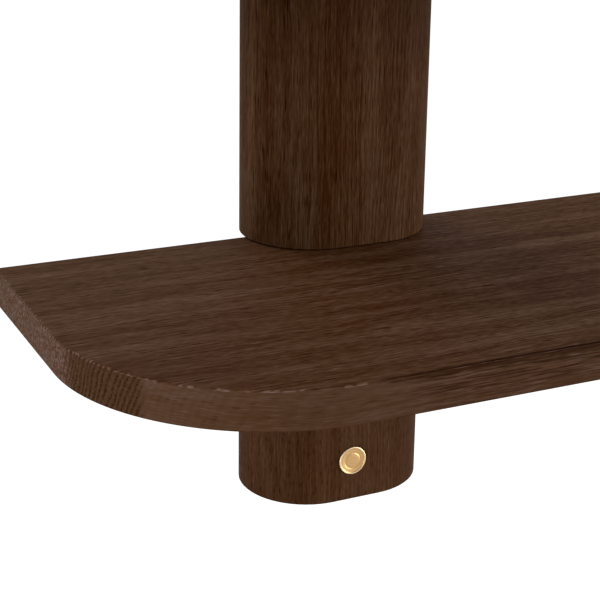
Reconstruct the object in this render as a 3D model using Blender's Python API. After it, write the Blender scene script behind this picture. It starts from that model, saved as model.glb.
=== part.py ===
"""Wall shelf: an oak board clamped between two pairs of upright oak posts.

Frame: X runs along the board, -Y is the front, +Y the wall, Z is up. The origin lies on the wall
plane, midway between the posts, level with the board's top face.
"""

import math

import bmesh
import bpy
from mathutils import Matrix

# Board
BOARD_LENGTH = 0.900
BOARD_DEPTH = 0.200
BOARD_THICKNESS = 0.0182
BOARD_CORNER_RADIUS = 0.101
BOARD_EDGE_EASE = 0.0008

# Posts: the section is a rectangle with semicircular ends
POST_WIDTH = 0.1016
POST_DEPTH = 0.0736
POST_INSET = 0.1832
POST_BACK_Y = -0.001
POST_END_EASE = 0.0005
BOARD_BEHIND_AXIS = 0.002
UPPER_POST_TOP = 0.250
LOWER_POST_BOTTOM = -0.1436

# Clearance kept between neighbouring pieces
GAP = 0.0003

# Brass button, turned about the Y axis
BUTTON_RADIUS = 0.0079
BUTTON_PROUD = 0.0009
BUTTON_SEAT_DEPTH = 0.0011
BUTTON_OFFSET = 0.0032
BUTTON_Z = -0.1205
BUTTON_RIM_WIDTH = 0.0009
BUTTON_DISH_DEPTH = 0.0004
BUTTON_STEM_RADIUS = 0.0025
BUTTON_STEM_LENGTH = 0.0060

# Clamping joint
BOLT_RADIUS = 0.004
BOLT_HEAD_RADIUS = 0.0065
BOLT_HEAD_HEIGHT = 0.008
BOLT_LENGTH = 0.110
BOLT_SOCKET_RADIUS = 0.0035
BOLT_SOCKET_DEPTH = 0.004
BOLT_BEHIND_FRONT = 0.0180
COUNTERBORE_RADIUS = 0.0085
COUNTERBORE_DEPTH = 0.060
WASHER_RADIUS = 0.008
WASHER_THICKNESS = 0.0016
INSERT_RADIUS = 0.006
INSERT_LENGTH = 0.020
INSERT_Z = 0.0015
PLUG_HEIGHT = 0.010
DOWEL_RADIUS = 0.004
DOWEL_DEPTH = 0.022
DOWEL_SPACING = 0.032
BLOCK_WIDTH = 0.048
BLOCK_BACK_Y = -0.004

# Wall fixing
PLATE_WIDTH = 0.020
PLATE_HEIGHT = 0.060
PLATE_THICKNESS = 0.0025
PLATE_Z = 0.205
PLATE_SCREW_SPACING = 0.046
KEYHOLE_RADIUS = 0.00475
KEYHOLE_Z = -0.0065
SLOT_WIDTH = 0.005
SLOT_TOP = 0.0095
POCKET_WIDTH = 0.013
POCKET_HEIGHT = 0.027
POCKET_DEPTH = 0.011
SCREW_HEAD_RADIUS = 0.0034
SCREW_HEAD_HEIGHT = 0.0018
SCREW_RADIUS = 0.0017
SCREW_LENGTH = 0.018
BUMPER_RADIUS = 0.005
BUMPER_THICKNESS = 0.003
BUMPER_Z = -0.125

# Facets
CORNER_STEPS = 32
POST_STEPS = 30
TURNED_STEPS = 36
HOLE_STEPS = 20
SMOOTH_ANGLE = math.radians(30)

POST_AXIS_Y = POST_BACK_Y - POST_DEPTH / 2
BOARD_REAR_Y = POST_AXIS_Y + BOARD_BEHIND_AXIS
POST_FRONT_Y = POST_BACK_Y - POST_DEPTH
POST_X = BOARD_LENGTH / 2 - POST_INSET
BOLT_Y = POST_FRONT_Y + BOLT_BEHIND_FRONT
BLOCK_FRONT_Y = BOARD_REAR_Y + GAP
DOWEL_Y = (BLOCK_FRONT_Y + BLOCK_BACK_Y) / 2
BOLT_SEAT_Z = LOWER_POST_BOTTOM + COUNTERBORE_DEPTH


def clear_scene():
    """Remove every object that the file holds."""
    for old in list(bpy.data.objects):
        bpy.data.objects.remove(old, do_unlink=True)


def material(name, colour, roughness, metallic=0.0):
    """A Principled material with one colour, in linear RGB."""
    made = bpy.data.materials.new(name)
    made.use_nodes = True
    shader = made.node_tree.nodes["Principled BSDF"]
    shader.inputs["Base Color"].default_value = (*colour, 1.0)
    shader.inputs["Roughness"].default_value = roughness
    shader.inputs["Metallic"].default_value = metallic
    made.diffuse_color = (*colour, 1.0)
    return made


def finish(bm, name, slot):
    """Turn a bmesh into a named, smooth-shaded object."""
    bmesh.ops.recalc_face_normals(bm, faces=bm.faces)
    mesh = bpy.data.meshes.new(name)
    bm.to_mesh(mesh)
    bm.free()
    mesh.shade_smooth()
    mesh.set_sharp_from_angle(angle=SMOOTH_ANGLE)
    if slot is not None:
        mesh.materials.append(slot)
    made = bpy.data.objects.new(name, mesh)
    bpy.context.scene.collection.objects.link(made)
    return made


def arc(cx, cy, radius, start, end, steps):
    """Points on an arc, both ends included; angles in degrees."""
    points = []
    for i in range(steps + 1):
        angle = math.radians(start + (end - start) * i / steps)
        points.append((cx + radius * math.cos(angle), cy + radius * math.sin(angle)))
    return points


def stadium(cx, cy, width, height, steps):
    """Outline with semicircular ends on the longer direction."""
    radius = min(width, height) / 2
    dx = width / 2 - radius
    dy = height / 2 - radius
    if dx > dy:
        right = arc(cx + dx, cy, radius, -90, 90, steps)
        left = arc(cx - dx, cy, radius, 90, 270, steps)
        return right + left
    top = arc(cx, cy + dy, radius, 0, 180, steps)
    bottom = arc(cx, cy - dy, radius, 180, 360, steps)
    return top + bottom


def prism(name, outline, low, high, axis="Z", slot=None):
    """Extrude a flat outline. Along Z it is (x, y); along Y it is (x, z)."""
    bm = bmesh.new()
    if axis == "Z":
        base = [bm.verts.new((a, b, low)) for a, b in outline]
        move = (0, 0, high - low)
    else:
        base = [bm.verts.new((a, low, b)) for a, b in outline]
        move = (0, high - low, 0)
    face = bm.faces.new(base)
    grown = bmesh.ops.extrude_face_region(bm, geom=[face])
    top = [v for v in grown["geom"] if isinstance(v, bmesh.types.BMVert)]
    bmesh.ops.translate(bm, verts=top, vec=move)
    return finish(bm, name, slot)


def box(name, low, high, slot=None):
    """A box between two corners."""
    outline = [(low[0], low[1]), (high[0], low[1]), (high[0], high[1]), (low[0], high[1])]
    return prism(name, outline, low[2], high[2], slot=slot)


def turned(name, profile, place, slot=None, steps=TURNED_STEPS, closed=False):
    """Spin a profile of (radius, height) points about Z, then place it.

    An open profile starts and ends on the axis. A closed one is a ring's section.
    """
    bm = bmesh.new()
    rings = []
    for radius, height in profile:
        if radius == 0:
            rings.append([bm.verts.new((0, 0, height))])
            continue
        ring = []
        for i in range(steps):
            angle = 2 * math.pi * i / steps
            ring.append(bm.verts.new((radius * math.cos(angle), radius * math.sin(angle), height)))
        rings.append(ring)
    pairs = list(zip(rings, rings[1:]))
    if closed:
        pairs.append((rings[-1], rings[0]))
    for first, second in pairs:
        for i in range(steps):
            j = (i + 1) % steps
            if len(first) == 1:
                bm.faces.new((first[0], second[j], second[i]))
            elif len(second) == 1:
                bm.faces.new((first[i], first[j], second[0]))
            else:
                bm.faces.new((first[i], first[j], second[j], second[i]))
    bmesh.ops.transform(bm, matrix=place, verts=bm.verts)
    return finish(bm, name, slot)


def rod(name, radius, low, high, place, slot=None, steps=HOLE_STEPS, ease=0.0):
    """A round bar along Z with optional chamfered ends."""
    if ease:
        profile = [(0, low), (radius - ease, low), (radius, low + ease)]
        profile += [(radius, high - ease), (radius - ease, high), (0, high)]
    else:
        profile = [(0, low), (radius, low), (radius, high), (0, high)]
    return turned(name, profile, place, slot, steps)


def upright(x, y):
    """Placement for a turned piece whose axis is vertical."""
    return Matrix.Translation((x, y, 0))


def facing_front(x, y, z):
    """Placement for a turned piece whose height axis points to -Y."""
    return Matrix.Translation((x, y, z)) @ Matrix.Rotation(math.radians(90), 4, "X")


def facing_wall(x, y, z):
    """Placement for a turned piece whose height axis points to +Y."""
    return Matrix.Translation((x, y, z)) @ Matrix.Rotation(math.radians(-90), 4, "X")


def cut(target, cutter):
    """Subtract a hidden cutter from a piece."""
    cutter.hide_render = True
    cutter.display_type = "WIRE"
    step = target.modifiers.new("cut " + cutter.name, "BOOLEAN")
    step.operation = "DIFFERENCE"
    step.solver = "EXACT"
    step.object = cutter


def ease_edges(target, width, segments=2):
    """Round the sharp edges of a piece before it is cut."""
    step = target.modifiers.new("eased edges", "BEVEL")
    step.limit_method = "ANGLE"
    step.angle_limit = SMOOTH_ANGLE
    step.width = width
    step.segments = segments


def make_materials():
    """One material for each sort of stock."""
    return {
        "oak_board": material("oak_board", (0.056, 0.023, 0.009), 0.60),
        "oak_post": material("oak_post", (0.045, 0.018, 0.007), 0.60),
        "oak_hidden": material("oak_hidden", (0.060, 0.026, 0.011), 0.70),
        "beech": material("beech", (0.55, 0.36, 0.20), 0.65),
        "brass": material("brass", (0.62, 0.40, 0.15), 0.32, 1.0),
        "zinc_steel": material("zinc_steel", (0.58, 0.57, 0.54), 0.35, 1.0),
        "black_steel": material("black_steel", (0.05, 0.05, 0.052), 0.45, 1.0),
        "rubber": material("rubber", (0.02, 0.02, 0.02), 0.85),
    }


def make_board(slots):
    """The board, with round front corners and one bolt hole at each post."""
    half = BOARD_LENGTH / 2
    rear = BOARD_REAR_Y
    front = rear - BOARD_DEPTH
    radius = BOARD_CORNER_RADIUS
    outline = [(half, rear), (-half, rear)]
    outline += arc(-half + radius, front + radius, radius, 180, 270, CORNER_STEPS)
    outline += arc(half - radius, front + radius, radius, 270, 360, CORNER_STEPS)
    board = prism("shelf_board", outline, -BOARD_THICKNESS, 0, slot=slots["oak_board"])
    ease_edges(board, BOARD_EDGE_EASE)
    for side in (-1, 1):
        hole = rod("board_bolt_hole", BOLT_RADIUS + GAP, -0.03, 0.01, upright(side * POST_X, BOLT_Y))
        cut(board, hole)
    return board


def post_body(name, x, low, high, slot):
    """A plain post between two heights, its end edges eased."""
    outline = stadium(x, POST_AXIS_Y, POST_WIDTH, POST_DEPTH, POST_STEPS)
    post = prism(name, outline, low, high, slot=slot)
    ease_edges(post, POST_END_EASE, 1)
    return post


def cut_dowel_holes(post, x, low, high):
    """Two round holes, one each side of the post's middle."""
    for step in (-1, 1):
        place = upright(x + step * DOWEL_SPACING / 2, DOWEL_Y)
        cut(post, rod("dowel_hole", DOWEL_RADIUS + GAP, low, high, place))


def make_upper_post(side, label, slots):
    """Post above the board, with the insert's hole below and the hanger's pocket in its back."""
    x = side * POST_X
    post = post_body("upper_post_" + label, x, GAP, UPPER_POST_TOP, slots["oak_post"])
    cut_dowel_holes(post, x, -0.01, DOWEL_DEPTH + GAP)
    insert_top = INSERT_Z + INSERT_LENGTH + 0.004
    cut(post, rod("insert_hole", INSERT_RADIUS + GAP, -0.01, insert_top, upright(x, BOLT_Y)))

    seat = stadium(x, PLATE_Z, PLATE_WIDTH + 2 * GAP, PLATE_HEIGHT + 2 * GAP, HOLE_STEPS)
    cut(post, prism("plate_seat", seat, -PLATE_THICKNESS - GAP, 0.01, "Y"))
    pocket = stadium(x, PLATE_Z, POCKET_WIDTH, POCKET_HEIGHT, HOLE_STEPS // 2)
    floor = POST_BACK_Y - POCKET_DEPTH
    cut(post, prism("screw_head_pocket", pocket, floor, -PLATE_THICKNESS / 2, "Y"))
    for step in (-1, 1):
        place = facing_wall(x, 0, PLATE_Z + step * PLATE_SCREW_SPACING / 2)
        cut(post, rod("pilot_hole", SCREW_RADIUS + GAP, -SCREW_LENGTH - 0.001, 0, place, steps=16))
    return post


def make_lower_post(side, label, slots):
    """Post below the board, bored for the bolt, its plug, the dowels, the button and the bumper."""
    x = side * POST_X
    top = -BOARD_THICKNESS - GAP
    post = post_body("lower_post_" + label, x, LOWER_POST_BOTTOM, top, slots["oak_post"])
    cut_dowel_holes(post, x, -BOARD_THICKNESS - DOWEL_DEPTH - GAP, 0)
    centre = upright(x, BOLT_Y)
    cut(post, rod("bolt_hole", BOLT_RADIUS + GAP, BOLT_SEAT_Z - 0.005, 0, centre))
    cut(post, rod("counterbore", COUNTERBORE_RADIUS, LOWER_POST_BOTTOM - 0.01, BOLT_SEAT_Z, centre))

    place = facing_front(x + side * BUTTON_OFFSET, POST_FRONT_Y, BUTTON_Z)
    seat_radius = BUTTON_RADIUS + GAP
    stem_radius = BUTTON_STEM_RADIUS + GAP
    stem_end = -BUTTON_SEAT_DEPTH - BUTTON_STEM_LENGTH - GAP
    profile = [(0, stem_end), (stem_radius, stem_end), (stem_radius, -BUTTON_SEAT_DEPTH)]
    profile += [(seat_radius, -BUTTON_SEAT_DEPTH), (seat_radius, 0.005), (0, 0.005)]
    cut(post, turned("button_seat", profile, place))

    place = facing_wall(x, POST_BACK_Y, BUMPER_Z)
    recess = BUMPER_THICKNESS + POST_BACK_Y + GAP
    cut(post, rod("bumper_recess", BUMPER_RADIUS + GAP, -recess, 0.01, place, steps=32))
    return post


def make_button(side, label, slots):
    """Turned brass button: raised rim, dished face with a ring step and a centre dimple, short stem."""
    r = BUTTON_RADIUS
    back = -BUTTON_SEAT_DEPTH + GAP
    rim = BUTTON_PROUD
    dish = rim - BUTTON_DISH_DEPTH
    stem_end = back - BUTTON_STEM_LENGTH
    inner = r - BUTTON_RIM_WIDTH
    profile = [(0, stem_end), (BUTTON_STEM_RADIUS - 0.0004, stem_end)]
    profile += [(BUTTON_STEM_RADIUS, stem_end + 0.0004), (BUTTON_STEM_RADIUS, back)]
    profile += [(r - 0.0002, back), (r, back + 0.0002), (r, rim - 0.0003), (r - 0.0001, rim - 0.0001)]
    profile += [(r - 0.0003, rim), (inner + 0.0002, rim), (inner, rim - 0.0001)]
    profile += [(inner - 0.0002, dish), (0.56 * r, dish + 0.00012), (0.53 * r, dish - 0.0001)]
    profile += [(0.50 * r, dish + 0.00014), (0.15 * r, dish + 0.00018), (0.11 * r, dish - 0.00015)]
    profile += [(0, dish - 0.0003)]
    place = facing_front(side * (POST_X + BUTTON_OFFSET), POST_FRONT_Y, BUTTON_Z)
    return turned("brass_button_" + label, profile, place, slots["brass"])


def make_clamp(side, label, slots):
    """Bolt, washer, threaded insert, plug, spacer block and dowels of one post."""
    x = side * POST_X
    centre = upright(x, BOLT_Y)
    washer_top = BOLT_SEAT_Z - GAP
    head_top = washer_top - WASHER_THICKNESS - GAP
    head_bottom = head_top - BOLT_HEAD_HEIGHT
    tip = head_top + BOLT_LENGTH
    steel = slots["black_steel"]

    profile = [(0, head_bottom), (BOLT_HEAD_RADIUS - 0.0006, head_bottom)]
    profile += [(BOLT_HEAD_RADIUS, head_bottom + 0.0006), (BOLT_HEAD_RADIUS, head_top)]
    profile += [(BOLT_RADIUS, head_top), (BOLT_RADIUS, tip - 0.001), (BOLT_RADIUS - 0.001, tip), (0, tip)]
    bolt = turned("clamp_bolt_" + label, profile, centre, steel, HOLE_STEPS)
    socket = rod("hex_socket", BOLT_SOCKET_RADIUS, head_bottom - 0.002, head_bottom + BOLT_SOCKET_DEPTH,
                 centre, steps=6)
    cut(bolt, socket)

    bore = BOLT_RADIUS + GAP
    ring = [(bore, washer_top - WASHER_THICKNESS), (WASHER_RADIUS, washer_top - WASHER_THICKNESS)]
    ring += [(WASHER_RADIUS, washer_top), (bore, washer_top)]
    turned("clamp_washer_" + label, ring, centre, slots["zinc_steel"], HOLE_STEPS, True)

    low = INSERT_Z
    high = INSERT_Z + INSERT_LENGTH
    edge = INSERT_RADIUS - 0.0006
    ring = [(bore, low), (edge, low), (INSERT_RADIUS, low + 0.0006)]
    ring += [(INSERT_RADIUS, high - 0.0006), (edge, high), (bore, high)]
    turned("threaded_insert_" + label, ring, centre, slots["zinc_steel"], HOLE_STEPS, True)

    rod("bolt_plug_" + label, COUNTERBORE_RADIUS - GAP, LOWER_POST_BOTTOM,
        LOWER_POST_BOTTOM + PLUG_HEIGHT, centre, slots["oak_hidden"], 32)

    half = BLOCK_WIDTH / 2
    block = box("spacer_block_" + label, (x - half, BLOCK_FRONT_Y, -BOARD_THICKNESS),
                (x + half, BLOCK_BACK_Y, 0), slots["oak_hidden"])
    cut_dowel_holes(block, x, -0.03, 0.01)
    for step in (-1, 1):
        end = "outer" if step == side else "inner"
        rod("dowel_" + label + "_" + end, DOWEL_RADIUS, -BOARD_THICKNESS - DOWEL_DEPTH, DOWEL_DEPTH,
            upright(x + step * DOWEL_SPACING / 2, DOWEL_Y), slots["beech"], ease=0.0008)


def make_wall_fixing(side, label, slots):
    """Keyhole plate with its two screws, and the rubber bumper."""
    x = side * POST_X
    outline = stadium(x, PLATE_Z, PLATE_WIDTH, PLATE_HEIGHT, HOLE_STEPS)
    plate = prism("keyhole_plate_" + label, outline, -PLATE_THICKNESS, 0, "Y", slots["zinc_steel"])
    ease_edges(plate, 0.0002, 1)
    entry_z = PLATE_Z + KEYHOLE_Z
    cut(plate, rod("keyhole_entry", KEYHOLE_RADIUS, -0.005, 0.005, facing_wall(x, 0, entry_z)))
    slot_height = SLOT_TOP - KEYHOLE_Z + SLOT_WIDTH / 2
    slot_middle = entry_z + slot_height / 2
    slot = stadium(x, slot_middle, SLOT_WIDTH, slot_height, HOLE_STEPS // 2)
    cut(plate, prism("keyhole_slot", slot, -0.005, 0.005, "Y"))

    for step, end in ((1, "top"), (-1, "bottom")):
        place = facing_wall(x, 0, PLATE_Z + step * PLATE_SCREW_SPACING / 2)
        sink = [(0, -0.005), (SCREW_RADIUS + GAP, -0.005), (SCREW_RADIUS + GAP, -SCREW_HEAD_HEIGHT - 0.0002)]
        sink += [(SCREW_HEAD_RADIUS + GAP, -0.0002), (SCREW_HEAD_RADIUS + GAP, 0.002), (0, 0.002)]
        cut(plate, turned("countersink", sink, place, steps=HOLE_STEPS))

        head = -0.0002
        profile = [(0, -SCREW_LENGTH), (SCREW_RADIUS, -SCREW_LENGTH + 0.003)]
        profile += [(SCREW_RADIUS, -SCREW_HEAD_HEIGHT - 0.0002), (SCREW_HEAD_RADIUS, head - 0.0002)]
        profile += [(SCREW_HEAD_RADIUS, head), (0, head)]
        name = "plate_screw_" + label + "_" + end
        screw = turned(name, profile, place, slots["zinc_steel"], HOLE_STEPS)
        z = PLATE_Z + step * PLATE_SCREW_SPACING / 2
        for wide, tall in ((0.0018, 0.0004), (0.0004, 0.0018)):
            cut(screw, box("cross_recess", (x - wide, -0.0014, z - tall), (x + wide, 0.002, z + tall)))

    place = facing_wall(x, POST_BACK_Y, BUMPER_Z)
    low = -BUMPER_THICKNESS - POST_BACK_Y
    rod("wall_bumper_" + label, BUMPER_RADIUS, low, -POST_BACK_Y, place, slots["rubber"], 32, 0.0004)


def main():
    clear_scene()
    slots = make_materials()
    make_board(slots)
    for side, label in ((-1, "left"), (1, "right")):
        make_upper_post(side, label, slots)
        make_lower_post(side, label, slots)
        make_button(side, label, slots)
        make_clamp(side, label, slots)
        make_wall_fixing(side, label, slots)


main()
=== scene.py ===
"""Studio scene of the wall shelf: smoked oak board and posts, satin brass buttons, steel wall fixings.

Lengths are in metres, but in millimetres where a name ends in _MM and inside the wood shaders. The frame is
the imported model's: X along the board, -Y to the front, +Y to the wall, Z up. Only the two buttons are new
shapes; every other piece is the CAD node itself with a material.
"""
import math

import bmesh
import bpy
from mathutils import Euler, Matrix, Vector


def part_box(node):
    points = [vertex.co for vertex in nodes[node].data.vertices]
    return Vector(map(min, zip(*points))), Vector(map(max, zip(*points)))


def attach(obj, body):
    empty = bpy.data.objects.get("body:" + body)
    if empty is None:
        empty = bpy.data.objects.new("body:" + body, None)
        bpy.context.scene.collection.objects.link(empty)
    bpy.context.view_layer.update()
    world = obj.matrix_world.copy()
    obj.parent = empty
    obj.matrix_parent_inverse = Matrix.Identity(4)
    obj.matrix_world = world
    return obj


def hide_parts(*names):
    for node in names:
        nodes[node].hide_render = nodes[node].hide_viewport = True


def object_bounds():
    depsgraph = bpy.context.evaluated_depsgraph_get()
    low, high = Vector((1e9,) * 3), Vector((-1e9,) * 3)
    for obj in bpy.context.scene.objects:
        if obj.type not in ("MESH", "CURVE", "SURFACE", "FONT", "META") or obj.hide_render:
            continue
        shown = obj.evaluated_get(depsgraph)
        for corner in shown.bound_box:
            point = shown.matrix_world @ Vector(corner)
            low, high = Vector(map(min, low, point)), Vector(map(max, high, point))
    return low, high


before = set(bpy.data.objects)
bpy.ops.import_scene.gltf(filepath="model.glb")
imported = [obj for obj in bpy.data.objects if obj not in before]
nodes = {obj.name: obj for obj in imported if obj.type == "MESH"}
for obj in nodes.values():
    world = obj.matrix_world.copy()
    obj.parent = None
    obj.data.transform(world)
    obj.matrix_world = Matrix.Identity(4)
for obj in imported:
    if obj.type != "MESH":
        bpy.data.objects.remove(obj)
cad_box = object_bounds()

# Camera
CAMERA_PLACE = (-0.61903, -0.73594, 0.23915)
CAMERA_TURN = (73.3775, -0.7857, -25.2891)
CAMERA_LENS = 91.27
CAMERA_SHIFT_Y = -0.14

# Stage: a glowing floor, white surroundings and softboxes that all aim at one point of the board
FLOOR_Z = -1.30
FLOOR_HALF = 12.0
FLOOR_GLOW = 0.72
FLOOR_GREYS = ((0.29, 0.29, 0.29), (0.32, 0.32, 0.32))
WORLD_STRENGTH = 1.0
WHITE = (1.0, 1.0, 1.0)
AIM = (-0.2, -0.1, 0.0)

# Place, width and height, and power of each softbox
SOFTBOXES = {
    "left_low_box": ((-1.7, -0.9, -0.3), (1.2, 0.8), 24.2),
    "right_front_box": ((1.7, -1.2, 0.1), (1.2, 1.2), 76.6),
    "back_left_box": ((-1.1, 1.5, 1.3), (1.2, 1.2), 29.9),
    "back_box": ((-0.2, 1.6, 1.1), (1.4, 1.0), 6.8),
    "back_right_box": ((0.9, 1.5, 1.3), (1.2, 1.2), 3.2),
}

# Oak colours, linear RGB
OAK_BOARD = (0.0416, 0.0173, 0.0066)
OAK_UPPER = (0.0234, 0.0097, 0.0037)
OAK_LOWER = (0.0305, 0.0125, 0.0047)
OAK_INSIDE = (0.0450, 0.0190, 0.0080)
OAK_SHEEN = 0.0145

# Tints that multiply an oak colour, from fibre to fibre and from place to place. The end, corner, edge,
# arris and post tints are partly or wholly painted light and shade.
DARK_FIBRE = (0.565, 0.34, 0.05)
PLAIN_FIBRE = (1.0, 1.0, 1.0)
LIGHT_FIBRE = (1.55, 1.95, 3.00)
PORE_TINT = (0.40, 0.24, 0.04)
FLECK_TINT = (1.42, 1.72, 2.40)
# End grain: the square end paler, partly its own tone and partly painted light; the round corner darker,
# partly painted shade
END_TONE_AND_LIGHT = (1.25, 1.56, 2.49)
CORNER_TONE_AND_SHADE = (0.84, 0.92, 1.02)
# Painted highlight on the board's upper arrises
ARRIS_PAINTED_HIGHLIGHT = (1.75, 2.15, 3.10)
# Greyer board edges, the round one also paler: partly the wood's own tone, partly painted light
EDGE_TONE_AND_LIGHT = (0.90, 1.05, 1.40)
CURVE_TONE_AND_LIGHT = (1.08, 1.28, 1.75)
BAND_TINT = (0.30, 0.15, 0.03)
# Painted light and shade on the upper posts: paler towards the foot, darker towards the head, over this
# height in mm
POST_FOOT_PAINTED_LIGHT = (1.80, 1.85, 1.80)
POST_HEAD_PAINTED_SHADE = (0.62, 0.50, 0.30)
PAINTED_SHADING_HEIGHT_MM = 150.0

# The oak's growth rings, and how far its fibres wander in long and in short waves
RING_MM = 2.6
RING_CURVE = 0.0016
RING_UNEVEN = 2.4
WANDER_MM = 11.0
RIPPLE_MM = 1.6

# Sizes along, across and into the grain. In streaks, long and short, and in flecks a wood's reach scales the
# first number and its fineness the second.
WANDER_WAVE_MM = (170.0, 45.0, 45.0)
RIPPLE_WAVE_MM = (40.0, 9.0, 9.0)
BROAD_MM = (260.0, 13.0, 13.0)
STREAK_MM = (75.0, 0.95, 0.95)
SHORT_MM = (13.0, 0.76, 0.70)
FLECK_MM = (30.0, 0.65, 0.65)

# How much each of them, and the rings' early wood, swings the fibres' tone about its middle
STREAK_GAIN = 1.9
SHORT_GAIN = 1.15
BROAD_GAIN = 1.3
EARLY_GAIN = -0.14
TONE_MIDDLE = 0.52

# Share of a surface's normal along an axis, over which one kind of surface changes to the next: edge to face
# (upwards), long grain to end grain and round corner to square end (both along the grain)
EDGE_TO_FACE = (0.25, 0.60)
LONG_TO_END = (0.785, 0.825)
ROUND_TO_SQUARE = (0.97, 1.0)

# The board, which is the widest and deepest piece; its dark growth band, from the left end; and where the
# fibres' contrast is full
BOARD_LEFT_MM = 1000.0 * cad_box[0][0]
BOARD_FRONT_MM = 1000.0 * cad_box[0][1]
BAND_BEGINS_MM = BOARD_LEFT_MM + 105.0
BAND_FULL_MM = BOARD_LEFT_MM + 225.0
CONTRAST_FULL_MM = BOARD_LEFT_MM + 200.0

# Where in the log the pieces are cut: the board, each side, and within a side
BOARD_CUT_MM = (310.0, 40.0, 120.0)
SIDE_CUT_MM = {"left": (17.0, 260.0, 90.0), "right": (451.0, -130.0, 740.0)}
UPPER_CUT_MM = (0.0, 0.0, 0.0)
LOWER_CUT_MM = (93.0, 31.0, 400.0)
BLOCK_CUT_MM = (211.0, 57.0, 71.0)
PLUG_CUT_MM = (37.0, 129.0, 11.0)

# How deep each surface's fine relief is
OAK_RELIEF = 0.00012
BEECH_RELIEF = 0.00008
RUBBER_RELIEF = 0.00005
METAL_RELIEF = 0.00002

# Brushing marks per metre along X, Y and Z
PLATE_BRUSH = (300.0, 300.0, 6000.0)
SCREW_BRUSH = (2500.0, 2500.0, 2500.0)
BOLT_BRUSH = (2500.0, 2500.0, 400.0)

# Metals, rubber and beech
ZINC = (0.44, 0.435, 0.415)
ZINC_DULL = (0.33, 0.325, 0.305)
SCREW_DULL = (0.50, 0.48, 0.42)
BLACK_OXIDE = (0.045, 0.045, 0.048)
BLACK_WORN = (0.08, 0.075, 0.07)
BRASS_FIELD = (0.435, 0.275, 0.120)
BRASS_DULL = (0.33, 0.20, 0.085)
# Paler rim colour: partly polished brass, partly a painted highlight
BRASS_RIM_HIGHLIGHT = (0.57, 0.43, 0.27)
RUBBER = (0.018, 0.018, 0.018)
RUBBER_DUST = (0.05, 0.048, 0.045)
BEECH = (0.58, 0.39, 0.23)
BEECH_FLECK = (0.42, 0.26, 0.14)

# The button's outline from the face's centre out and back to the stem: share of the radius, and depth behind
# the front in mm
BUTTON_CENTRE = ((0.0, 0.22), (0.20, 0.23), (0.40, 0.27), (0.50, 0.30))
BUTTON_RING = ((0.515, 0.36), (0.535, 0.44), (0.56, 0.46), (0.585, 0.44), (0.605, 0.36), (0.62, 0.30))
BUTTON_FIELD = ((0.84, 0.34), (0.865, 0.30), (0.885, 0.16))
BUTTON_RIM = ((0.905, 0.04), (0.93, 0.0), (0.96, 0.03), (0.985, 0.14), (1.0, 0.32))
BUTTON_BACK = ((1.0, 1.6), (0.97, 1.7), (0.33, 1.7), (0.31, 1.8))
BUTTON_STEM = 0.31
BUTTON_STEM_TIP = 0.27
BUTTON_STEM_EASE = 0.0003
BUTTON_STEPS = 96
BUTTON_SHARP = math.radians(50)
# Radii in metres over which the rim's paler colour, partly a painted highlight, comes in
BRASS_HIGHLIGHT_START = 0.00715
BRASS_HIGHLIGHT_FULL = 0.00735

# Facets that meet at less than this angle are shaded as one curve
SMOOTH_ANGLE = math.radians(19.5)
WELD_DISTANCE = 0.000002


# ---------------------------------------------------------------- shader graphs

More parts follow.
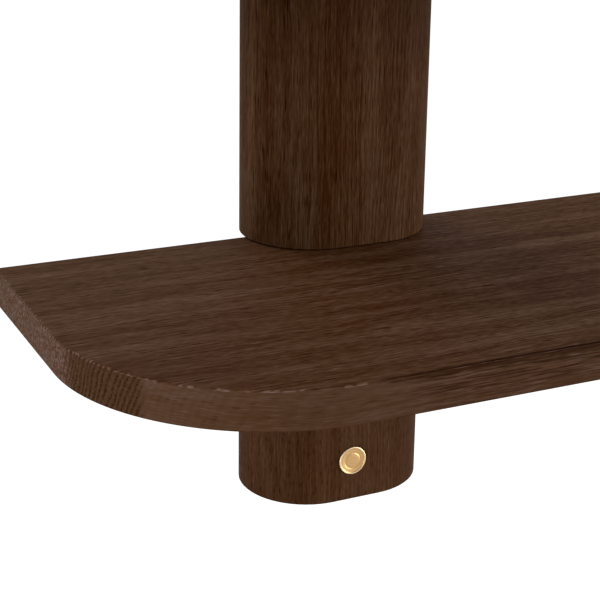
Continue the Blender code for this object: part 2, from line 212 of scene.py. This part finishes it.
class Graph:
    """Short calls for building one material's nodes."""

    def __init__(self, name):
        self.material = bpy.data.materials.new(name)
        self.material.use_nodes = True
        self.tree = self.material.node_tree
        self.shader = self.tree.nodes["Principled BSDF"]

    def put(self, target, key, value):
        if isinstance(value, bpy.types.NodeSocket):
            self.tree.links.new(value, target.inputs[key])
        elif value is not None:
            target.inputs[key].default_value = value

    def node(self, kind, inputs=None, **settings):
        made = self.tree.nodes.new(kind)
        for key, value in settings.items():
            setattr(made, key, value)
        for key, value in (inputs or {}).items():
            self.put(made, key, value)
        return made

    def math(self, operation, *values, clamp=False):
        made = self.node("ShaderNodeMath", dict(enumerate(values)), operation=operation, use_clamp=clamp)
        return made.outputs[0]

    def add(self, first, second, clamp=False):
        return self.math("ADD", first, second, clamp=clamp)

    def less(self, first, second):
        return self.math("SUBTRACT", first, second)

    def times(self, first, second, clamp=False):
        return self.math("MULTIPLY", first, second, clamp=clamp)

    def over(self, first, second):
        return self.math("DIVIDE", first, second)

    def swing(self, value, gain):
        """A value between 0 and 1, centred on zero and scaled."""
        return self.times(self.less(value, 0.5), gain)

    def vector(self, operation, *values):
        made = self.node("ShaderNodeVectorMath", dict(enumerate(values)), operation=operation)
        return made.outputs["Value" if operation == "LENGTH" else "Vector"]

    def join(self, x, y, z):
        return self.node("ShaderNodeCombineXYZ", {0: x, 1: y, 2: z}).outputs[0]

    def split(self, vector):
        return self.node("ShaderNodeSeparateXYZ", {0: vector}).outputs

    def spread(self, point, sizes):
        """A point's coordinates counted in units of the given sizes."""
        return self.join(*(self.over(value, size) for value, size in zip(point, sizes)))

    def noise(self, vector, scale=1.0, detail=2.0, rough=0.5):
        made = self.node("ShaderNodeTexNoise", {"Vector": vector, "Scale": scale, "Detail": detail,
                                                "Roughness": rough})
        return made.outputs["Fac"]

    def cells(self, vector):
        """Distance to the nearest of scattered points, and that point's two random numbers."""
        made = self.node("ShaderNodeTexVoronoi", {"Vector": vector, "Scale": 1.0})
        chance = self.split(made.outputs["Color"])
        return made.outputs["Distance"], chance[0], chance[1]

    def ramp(self, value, low, high, out_low=0.0, out_high=1.0, smooth=True):
        made = self.node("ShaderNodeMapRange", {"Value": value, "From Min": low, "From Max": high,
                                                "To Min": out_low, "To Max": out_high})
        made.interpolation_type = "SMOOTHSTEP" if smooth else "LINEAR"
        return made.outputs[0]

    def mix(self, factor, first, second, blend="MIX"):
        made = self.node("ShaderNodeMix", data_type="RGBA", blend_type=blend)
        self.put(made, 0, factor)
        for key, value in ((6, first), (7, second)):
            self.put(made, key, (*value, 1.0) if isinstance(value, tuple) else value)
        return made.outputs[2]

    def tinted(self, factor, colour, tint):
        """A colour multiplied by a tint as far as factor says."""
        return self.mix(factor, colour, self.mix(1.0, colour, tint, "MULTIPLY"))

    def bump(self, height, distance, strength):
        made = self.node("ShaderNodeBump", {"Height": height, "Distance": distance, "Strength": strength})
        return made.outputs[0]

    def finish(self, **inputs):
        for key, value in inputs.items():
            key = key.replace("_", " ").title().replace("Ior", "IOR")
            if isinstance(value, tuple):
                value = (*value, 1.0)
            self.put(self.shader, key, value)
        return self.material


# ---------------------------------------------------------------- oak

class Grain:
    """Where a point lies in a piece of oak, and how its surface faces.

    Places are in mm along, across and into the grain. Every value is a socket of the graph g.
    """

    def __init__(self, g, along, shift):
        coords = g.node("ShaderNodeTexCoord").outputs
        self.g = g
        self.place = g.vector("MULTIPLY", coords["Object"], (1000.0, 1000.0, 1000.0))
        x, y, z = g.split(g.vector("ADD", self.place, shift))
        self.length, across, depth = (x, y, z) if along == "X" else (z, x, y)
        self.normal = g.split(coords["Normal"])
        self.facing_end = g.math("ABSOLUTE", self.normal["XYZ".index(along)])
        self.facing_up = g.math("ABSOLUTE", self.normal["XYZ".index("Z")])

        point = (self.length, across, depth)
        wander = g.swing(g.noise(g.spread(point, WANDER_WAVE_MM)), WANDER_MM)
        ripple = g.swing(g.noise(g.spread(point, RIPPLE_WAVE_MM), detail=1.0), RIPPLE_MM)
        side = g.add(g.add(across, wander), ripple)
        self.deep = g.add(depth, g.times(wander, 0.6))
        self.early = self.early_wood(side)

        # on the board's edges the fibres show the thickness, so the width counts for less there
        self.side = g.times(side, self.by_face(0.11, 1.0)) if along == "X" else side

    def early_wood(self, side):
        """1 in the porous early wood of each growth ring, 0 in the dense late wood."""
        g = self.g
        curve = g.times(g.times(self.deep, self.deep), RING_CURVE)
        year = g.over(g.add(side, curve), RING_MM)
        uneven = g.noise(g.join(g.over(year, 5.0), 0.0, 0.0), detail=1.0)
        phase = g.math("FRACT", g.add(year, g.times(uneven, RING_UNEVEN)))
        return g.times(g.ramp(phase, 0.0, 0.12), g.ramp(phase, 0.38, 0.62, 1.0, 0.0))

    def by_face(self, on_edge, on_face):
        """A value that changes from the board's edges to its flat faces."""
        return self.g.ramp(self.facing_up, *EDGE_TO_FACE, on_edge, on_face)

    def spread(self, sizes, reach=1.0, fineness=1.0):
        """Texture coordinates whose features have the given sizes along, across and into the grain."""
        length, side, deep = sizes
        return self.g.spread((self.length, self.side, self.deep), (length * reach, side * fineness, deep))


def fibres(g, grain, streak, fineness, reach, contrast, board):
    """Tint of the long-grain surface: streaks long and short, broad bands, darker early wood."""
    short = g.noise(grain.spread(SHORT_MM, reach, fineness), detail=1.0)
    broad = g.noise(grain.spread(BROAD_MM))
    tone = g.add(g.swing(streak, STREAK_GAIN), g.swing(short, SHORT_GAIN))
    tone = g.add(tone, g.swing(broad, BROAD_GAIN))
    tone = g.add(tone, g.times(grain.early, EARLY_GAIN))
    if board:
        x = g.split(grain.place)[0]
        tone = g.times(tone, g.ramp(x, BAND_BEGINS_MM, CONTRAST_FULL_MM, 0.9, 1.15))
        tone = g.times(tone, grain.by_face(0.42, 1.0))
    tone = g.add(g.times(tone, contrast), TONE_MIDDLE, clamp=True)
    darker = g.mix(g.ramp(tone, 0.0, 0.5, smooth=False), DARK_FIBRE, PLAIN_FIBRE)
    return g.mix(g.ramp(tone, 0.5, 1.0, smooth=False), darker, LIGHT_FIBRE)


def open_pores(g, grain, length, width, fineness, board):
    """Mask of the long fine pores, thickest in the early wood and fainter on the board's edges."""
    near, chance, _ = g.cells(grain.spread((length, width, width), 1.0, fineness))
    pore = g.times(g.ramp(near, 0.20, 0.36, 1.0, 0.0), g.ramp(chance, 0.48, 0.60))
    pore = g.times(pore, g.add(g.times(grain.early, 0.60), 0.40))
    return g.times(pore, grain.by_face(0.45, 1.0)) if board else pore


def pale_flecks(g, grain, fineness, reach):
    """Mask of short pale flecks, in cells shifted away from the pores'."""
    length, side, deep = FLECK_MM
    point = (grain.length, grain.side, g.add(grain.deep, 37.0))
    near, chance, _ = g.cells(g.spread(point, (length * reach, side * fineness, deep)))
    return g.times(g.ramp(near, 0.18, 0.38, 1.0, 0.0), g.ramp(chance, 0.62, 0.80))


def front_band(g, grain, streak):
    """Mask of a dark growth band along the top of the board's front edge.

    It surfaces right of the round corner and trails off below in long thin streaks.
    """
    x, y, z = g.split(grain.place)
    wave = g.swing(g.noise(g.join(g.over(x, 14.0), 0.0, 0.0)), 5.0)
    uneven = g.noise(g.join(g.over(x, 26.0), 5.0, 0.0))
    height = g.times(g.ramp(x, BAND_BEGINS_MM, BAND_FULL_MM, 2.1, 4.6, smooth=False),
                     g.ramp(uneven, 0.3, 0.7, 0.55, 1.35))
    on_top = g.ramp(g.less(y, BOARD_FRONT_MM), 0.9, 2.2, 1.0, 0.0)
    below = g.ramp(g.over(g.add(z, wave), height), -1.25, -0.75)
    gaps = g.noise(g.join(g.over(x, 20.0), g.over(z, 0.65), 11.0))
    below = g.times(below, g.ramp(gaps, 0.40, 0.52, 0.25, 1.0))
    thread = g.noise(g.join(g.over(x, 30.0), g.over(z, 0.70), 7.0))
    grown = g.ramp(x, BAND_BEGINS_MM, BAND_BEGINS_MM + 40.0, 0.0, 0.85)
    thread = g.times(g.ramp(thread, 0.48, 0.55), grown)
    thread = g.times(thread, g.ramp(z, -17.0, -7.0, 0.5, 1.0))
    both = g.mix(g.ramp(grain.facing_up, 0.75, 0.95), g.math("MAXIMUM", below, thread), on_top)
    begun = g.ramp(x, BAND_BEGINS_MM - 5.0, BAND_BEGINS_MM + 10.0)
    return g.times(g.times(both, begun), g.ramp(streak, 0.35, 0.60, 1.0, 0.85))


def end_grain(g, grain):
    """Tint of end grain, with rows of pores along the rings and specks between, and the specks' mask."""
    square = g.ramp(grain.facing_end, *ROUND_TO_SQUARE)
    near, deep_chance, dust_chance = g.cells(g.vector("MULTIPLY", grain.place, (0.95, 0.95, 0.95)))
    speck = g.ramp(near, 0.15, 0.60, 1.0, 0.0)
    row = g.times(grain.early, g.ramp(speck, 0.0, 1.0, 0.35, 1.15))
    row = g.times(row, g.ramp(square, 0.0, 1.0, 1.15, 0.55), clamp=True)
    dusty = g.times(g.ramp(dust_chance, 0.45, 0.65), g.ramp(square, 0.0, 1.0, 0.35, 1.0))
    sunk = g.times(g.ramp(deep_chance, 0.60, 0.75), g.ramp(square, 0.0, 1.0, 0.2, 0.7))
    # round corner darker (partly painted shade), square end paler (partly painted light), both also the end
    # grain's own tone
    tint = g.mix(g.ramp(square, 0.0, 1.0), CORNER_TONE_AND_SHADE, END_TONE_AND_LIGHT)
    tint = g.tinted(dusty, tint, FLECK_TINT)
    tint = g.tinted(sunk, tint, DARK_FIBRE)
    return g.tinted(row, tint, PORE_TINT), speck


def painted_arris_light_and_shade(g, grain, colour, end, vein):
    """A colour with painted highlights along the upper arrises, in dashes that follow the late wood, and
    painted shade along the lower arrises.
    """
    up = grain.normal[2]
    # painted highlight: the upper arrises are tinted paler, in dashes
    highlit_arris = g.times(g.ramp(up, 0.20, 0.34), g.ramp(up, 0.93, 0.99, 1.0, 0.0))
    dash = g.noise(g.vector("MULTIPLY", grain.place, (0.16, 0.30, 0.30)), detail=1.0)
    dash = g.mix(end, g.ramp(dash, 0.50, 0.60), g.ramp(grain.early, 0.1, 0.5, 1.0, 0.0))
    colour = g.tinted(g.times(g.times(highlit_arris, dash), g.less(1.0, vein)), colour, ARRIS_PAINTED_HIGHLIGHT)
    # painted shade: the lower arrises are tinted darker
    shaded_under_arris = g.times(g.ramp(up, -0.55, -0.20, 1.0, 0.0), g.ramp(up, -0.99, -0.93))
    return g.tinted(shaded_under_arris, colour, DARK_FIBRE)


def wood(name, along, base, shift, fineness=0.8, reach=0.6, contrast=1.0, board=False, painted_shading=False,
         pore_length=20.0, pore_width=0.9, pore_strength=1.0):
    """Smoked, oiled oak as a solid texture.

    along is the grain's axis and shift moves the pattern, in mm. fineness and reach scale the fibres' width
    and length, and contrast their strength. board adds what only the board has: edge tints, partly painted
    light and shade, and a dark band. A post can also be given painted light and shade: paler towards its
    foot and darker towards its head.
    """
    g = Graph(name)
    grain = Grain(g, along, shift)
    streak = g.noise(grain.spread(STREAK_MM, reach, fineness), detail=3.0, rough=0.62)
    pore = open_pores(g, grain, pore_length, pore_width, fineness, board)
    fleck = pale_flecks(g, grain, fineness, reach)
    tint = fibres(g, grain, streak, fineness, reach, contrast, board)
    tint = g.tinted(g.times(pore, pore_strength), tint, PORE_TINT)
    tint = g.tinted(g.times(fleck, 0.7 * contrast), tint, FLECK_TINT)
    vein = 0.0
    if board:
        # edge tints: partly the wood's own tone, partly painted light that makes the edges greyer and the
        # round edge paler
        edge_tone_and_light = g.mix(g.ramp(grain.facing_end, 0.10, 0.60), EDGE_TONE_AND_LIGHT, CURVE_TONE_AND_LIGHT)
        tint = g.tinted(grain.by_face(1.0, 0.0), tint, edge_tone_and_light)
        vein = front_band(g, grain, streak)
        tint = g.tinted(vein, tint, BAND_TINT)
    # painted light and shade: the post is tinted paler at its foot and darker towards its head
    if painted_shading:
        height = g.ramp(g.split(grain.place)[2], 0.0, PAINTED_SHADING_HEIGHT_MM, smooth=False)
        tint = g.mix(1.0, tint, g.mix(height, POST_FOOT_PAINTED_LIGHT, POST_HEAD_PAINTED_SHADE), "MULTIPLY")

    end = g.ramp(grain.facing_end, *LONG_TO_END)
    end_tint, speck = end_grain(g, grain)
    # painted highlights on the upper arrises, painted shade on the lower ones
    tint = painted_arris_light_and_shade(g, grain, g.mix(end, tint, end_tint), end, vein)

    rough = g.ramp(g.add(streak, pore), 0.2, 1.2, 0.62, 0.80, smooth=False)
    height = g.less(g.times(streak, 0.35), pore)
    height = g.less(height, g.times(g.times(end, speck), 0.9))
    return g.finish(base_color=g.mix(1.0, tint, base, "MULTIPLY"), roughness=rough,
                    specular_ior_level=OAK_SHEEN, normal=g.bump(height, OAK_RELIEF, 0.7))


# ---------------------------------------------------------------- other materials

def turned_brass(name, centre):
    """Satin brass turned on a lathe: fine rings about the Y axis through centre, and faint tarnish."""
    g = Graph(name)
    place = g.node("ShaderNodeTexCoord").outputs["Object"]
    x, _, z = g.split(g.vector("SUBTRACT", place, centre))
    radius = g.vector("LENGTH", g.join(x, 0.0, z))
    rings = g.noise(g.join(g.times(radius, 9000.0), 0.0, 0.0), detail=3.0, rough=0.7)
    cloud = g.noise(place, 900.0, 3.0)
    groove = g.noise(g.join(g.times(radius, 1500.0), 3.0, 0.0), detail=1.0)
    colour = g.mix(g.ramp(cloud, 0.35, 0.75, 0.0, 0.35), BRASS_FIELD, BRASS_DULL)
    colour = g.mix(g.ramp(groove, 0.35, 0.65, 0.55, 0.0), colour, BRASS_DULL)
    # the rim is tinted paler: partly polish, partly a painted highlight
    colour = g.mix(g.ramp(radius, BRASS_HIGHLIGHT_START, BRASS_HIGHLIGHT_FULL), colour, BRASS_RIM_HIGHLIGHT)
    rough = g.add(g.ramp(rings, 0.3, 0.7, 0.36, 0.46), g.ramp(cloud, 0.4, 0.8, 0.0, 0.10))
    return g.finish(base_color=colour, metallic=1.0, roughness=rough,
                    normal=g.bump(rings, METAL_RELIEF, 0.5))


def metal(name, colour, dull, roughness, brush):
    """Plated or blackened steel with fine brushing and handling marks."""
    g = Graph(name)
    place = g.node("ShaderNodeTexCoord").outputs["Object"]
    grain = g.noise(g.vector("MULTIPLY", place, brush), detail=4.0, rough=0.65)
    cloud = g.noise(place, 160.0, 4.0, 0.6)
    rough = g.add(g.ramp(grain, 0.3, 0.7, roughness - 0.06, roughness + 0.06),
                  g.ramp(cloud, 0.4, 0.8, 0.0, 0.12))
    return g.finish(base_color=g.mix(g.ramp(cloud, 0.3, 0.75), colour, dull), metallic=1.0, roughness=rough,
                    normal=g.bump(grain, METAL_RELIEF, 0.5))


def rubber(name):
    """Moulded rubber with a fine matt texture and a little dust."""
    g = Graph(name)
    place = g.node("ShaderNodeTexCoord").outputs["Object"]
    fine = g.noise(place, 2600.0, 3.0, 0.6)
    dust = g.noise(place, 500.0, 3.0, 0.6)
    return g.finish(base_color=g.mix(g.ramp(dust, 0.5, 0.8), RUBBER, RUBBER_DUST),
                    roughness=g.ramp(fine, 0.3, 0.7, 0.72, 0.9), normal=g.bump(fine, RUBBER_RELIEF, 0.6))


def pale_beech(name):
    """Pale beech with short flecks along Z."""
    g = Graph(name)
    place = g.vector("MULTIPLY", g.node("ShaderNodeTexCoord").outputs["Object"], (1000.0, 1000.0, 1000.0))
    fleck = g.noise(g.spread(g.split(place), (0.5, 0.5, 4.0)), detail=3.0, rough=0.6)
    return g.finish(base_color=g.mix(g.ramp(fleck, 0.35, 0.7), BEECH, BEECH_FLECK),
                    roughness=g.ramp(fleck, 0.3, 0.7, 0.55, 0.7), normal=g.bump(fleck, BEECH_RELIEF, 0.6))


def round_shading():
    """A node group that joins a piece's facets and shades its curves as curves, its arrises sharp."""
    group = bpy.data.node_groups.new("round_shading", "GeometryNodeTree")
    group.interface.new_socket("Geometry", in_out="INPUT", socket_type="NodeSocketGeometry")
    group.interface.new_socket("Geometry", in_out="OUTPUT", socket_type="NodeSocketGeometry")
    start = group.nodes.new("NodeGroupInput")
    stop = group.nodes.new("NodeGroupOutput")
    weld = group.nodes.new("GeometryNodeMergeByDistance")
    weld.inputs["Distance"].default_value = WELD_DISTANCE
    angle = group.nodes.new("GeometryNodeInputMeshEdgeAngle")
    steep = group.nodes.new("FunctionNodeCompare")
    steep.operation = "GREATER_THAN"
    steep.inputs[1].default_value = SMOOTH_ANGLE
    normals = group.nodes.new("GeometryNodeSetMeshNormal")
    normals.mode = "SHARPNESS"
    normals.inputs["Remove Custom"].default_value = True
    link = group.links.new
    link(start.outputs[0], weld.inputs["Geometry"])
    link(weld.outputs[0], normals.inputs["Mesh"])
    link(angle.outputs["Unsigned Angle"], steep.inputs[0])
    link(steep.outputs[0], normals.inputs["Edge Sharpness"])
    link(normals.outputs[0], stop.inputs[0])
    return group


# ---------------------------------------------------------------- stage

def make_floor():
    """A wide pale floor that glows a little, so that its far edge melts into the white surroundings."""
    bm = bmesh.new()
    corners = [(-1, -1), (1, -1), (1, 1), (-1, 1)]
    bm.faces.new([bm.verts.new((a * FLOOR_HALF, b * FLOOR_HALF, FLOOR_Z)) for a, b in corners])
    mesh = bpy.data.meshes.new("studio_floor")
    bm.to_mesh(mesh)
    bm.free()
    floor = bpy.data.objects.new("studio_floor", mesh)
    bpy.context.scene.collection.objects.link(floor)
    g = Graph("studio_floor")
    mottle = g.noise(g.node("ShaderNodeTexCoord").outputs["Object"], 3.0, 3.0)
    mesh.materials.append(g.finish(base_color=g.mix(mottle, *FLOOR_GREYS), roughness=0.9,
                                   emission_color=WHITE, emission_strength=FLOOR_GLOW))


def make_surroundings():
    """An evenly white world."""
    world = bpy.data.worlds.new("studio")
    world.use_nodes = True
    sky = world.node_tree.nodes["Background"]
    sky.inputs["Color"].default_value = (*WHITE, 1.0)
    sky.inputs["Strength"].default_value = WORLD_STRENGTH
    bpy.context.scene.world = world


def softbox(name, place, size, power):
    """A rectangular area light turned to the board."""
    data = bpy.data.lights.new(name, "AREA")
    data.shape = "RECTANGLE"
    data.size, data.size_y = size
    data.energy = power
    light = bpy.data.objects.new(name, data)
    light.location = place
    light.rotation_euler = (Vector(AIM) - Vector(place)).to_track_quat("-Z", "Y").to_euler()
    bpy.context.scene.collection.objects.link(light)


def make_camera():
    """The camera at the photograph's viewing angle."""
    data = bpy.data.cameras.new("camera")
    data.sensor_width = 36.0
    data.lens = CAMERA_LENS
    data.shift_y = CAMERA_SHIFT_Y
    data.clip_start, data.clip_end = 0.01, 50.0
    camera = bpy.data.objects.new("camera", data)
    turn = Euler([math.radians(a) for a in CAMERA_TURN], "XYZ").to_matrix().to_4x4()
    camera.matrix_world = Matrix.Translation(CAMERA_PLACE) @ turn
    bpy.context.scene.collection.objects.link(camera)
    bpy.context.scene.camera = camera


# ---------------------------------------------------------------- pieces

def turned_mesh(name, profile, centre):
    """A closed mesh made by turning a profile of (radius, depth) about the Y axis through centre."""
    bm = bmesh.new()
    rings = []
    for radius, depth in profile:
        count = BUTTON_STEPS if radius else 1
        angles = [2 * math.pi * i / BUTTON_STEPS for i in range(count)]
        rings.append([bm.verts.new((centre.x + radius * math.sin(angle), centre.y + depth,
                                    centre.z + radius * math.cos(angle))) for angle in angles])
    for first, second in zip(rings, rings[1:]):
        for i in range(BUTTON_STEPS):
            near = (first[i % len(first)], first[(i + 1) % len(first)])
            far = (second[(i + 1) % len(second)], second[i % len(second)])
            bm.faces.new(list(dict.fromkeys(near + far)))
    bmesh.ops.recalc_face_normals(bm, faces=bm.faces)
    mesh = bpy.data.meshes.new(name)
    bm.to_mesh(mesh)
    bm.free()
    mesh.shade_smooth()
    mesh.set_sharp_from_angle(angle=BUTTON_SHARP)
    return mesh


def button(side):
    """The turned brass button that stands for the CAD one, with a rolled rim and a ringed face."""
    name = "brass_button_" + side
    low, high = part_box(name)
    centre = Vector(((low.x + high.x) / 2, low.y, (low.z + high.z) / 2))
    radius = (high.x - low.x) / 2
    length = high.y - low.y
    outline = BUTTON_CENTRE + BUTTON_RING + BUTTON_FIELD + BUTTON_RIM + BUTTON_BACK
    profile = [(share * radius, depth / 1000.0) for share, depth in outline]
    profile += [(BUTTON_STEM * radius, length - BUTTON_STEM_EASE), (BUTTON_STEM_TIP * radius, length)]
    profile += [(0.0, length)]
    mesh = turned_mesh("button_" + side, profile, centre)
    mesh.materials.append(turned_brass("turned_brass_" + side, tuple(centre)))
    piece = bpy.data.objects.new("turned_button_" + side, mesh)
    bpy.context.scene.collection.objects.link(piece)
    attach(piece, "root")
    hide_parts(name)


def dress(node_name, material, shading):
    """Give a carried-over CAD node its material and smooth curves."""
    slots = nodes[node_name].data.materials
    slots.clear()
    slots.append(material)
    nodes[node_name].modifiers.new("round shading", "NODES").node_group = shading


def log_place(side, cut):
    """How far a piece's pattern is moved: its side's cut and its own."""
    return tuple(a + b for a, b in zip(SIDE_CUT_MM[side], cut))


def dress_oak(side, shading):
    """Posts, spacer block and plug of one side, each cut from another place in the log."""
    # the upper posts carry painted light and shade along their height
    upper = wood("oak_upper_" + side, "Z", OAK_UPPER, log_place(side, UPPER_CUT_MM), 0.72, 0.42, 1.05,
                 painted_shading=True, pore_length=13.0, pore_width=1.2)
    lower = wood("oak_lower_" + side, "Z", OAK_LOWER, log_place(side, LOWER_CUT_MM), 0.68, 0.32, 0.72,
                 pore_length=6.0, pore_width=1.3, pore_strength=0.8)
    block = wood("oak_block_" + side, "X", OAK_INSIDE, log_place(side, BLOCK_CUT_MM))
    plug = wood("oak_plug_" + side, "X", OAK_INSIDE, log_place(side, PLUG_CUT_MM))
    dress("upper_post_" + side, upper, shading)
    dress("lower_post_" + side, lower, shading)
    dress("spacer_block_" + side, block, shading)
    dress("bolt_plug_" + side, plug, shading)


def dress_all():
    """Every CAD piece's material, and the turned buttons."""
    shading = round_shading()
    board = wood("oak_board", "X", OAK_BOARD, BOARD_CUT_MM, 1.4, 0.36, board=True, pore_length=12.0)
    dress("shelf_board", board, shading)
    zinc = metal("zinc_plate", ZINC, ZINC_DULL, 0.34, PLATE_BRUSH)
    screws = metal("zinc_screw", ZINC, SCREW_DULL, 0.30, SCREW_BRUSH)
    black = metal("black_oxide", BLACK_OXIDE, BLACK_WORN, 0.42, BOLT_BRUSH)
    pad = rubber("pad_rubber")
    beech = pale_beech("dowel_beech")
    for side in SIDE_CUT_MM:
        dress_oak(side, shading)
        dress("keyhole_plate_" + side, zinc, shading)
        for end in ("top", "bottom"):
            dress("plate_screw_" + side + "_" + end, screws, shading)
        for end in ("outer", "inner"):
            dress("dowel_" + side + "_" + end, beech, shading)
        dress("clamp_washer_" + side, zinc, shading)
        dress("threaded_insert_" + side, zinc, shading)
        dress("clamp_bolt_" + side, black, shading)
        dress("wall_bumper_" + side, pad, shading)
        button(side)


make_camera()
make_floor()
make_surroundings()
for box_name, setting in SOFTBOXES.items():
    softbox(box_name, *setting)
dress_all()
bpy.context.scene.view_settings.view_transform = "Standard"
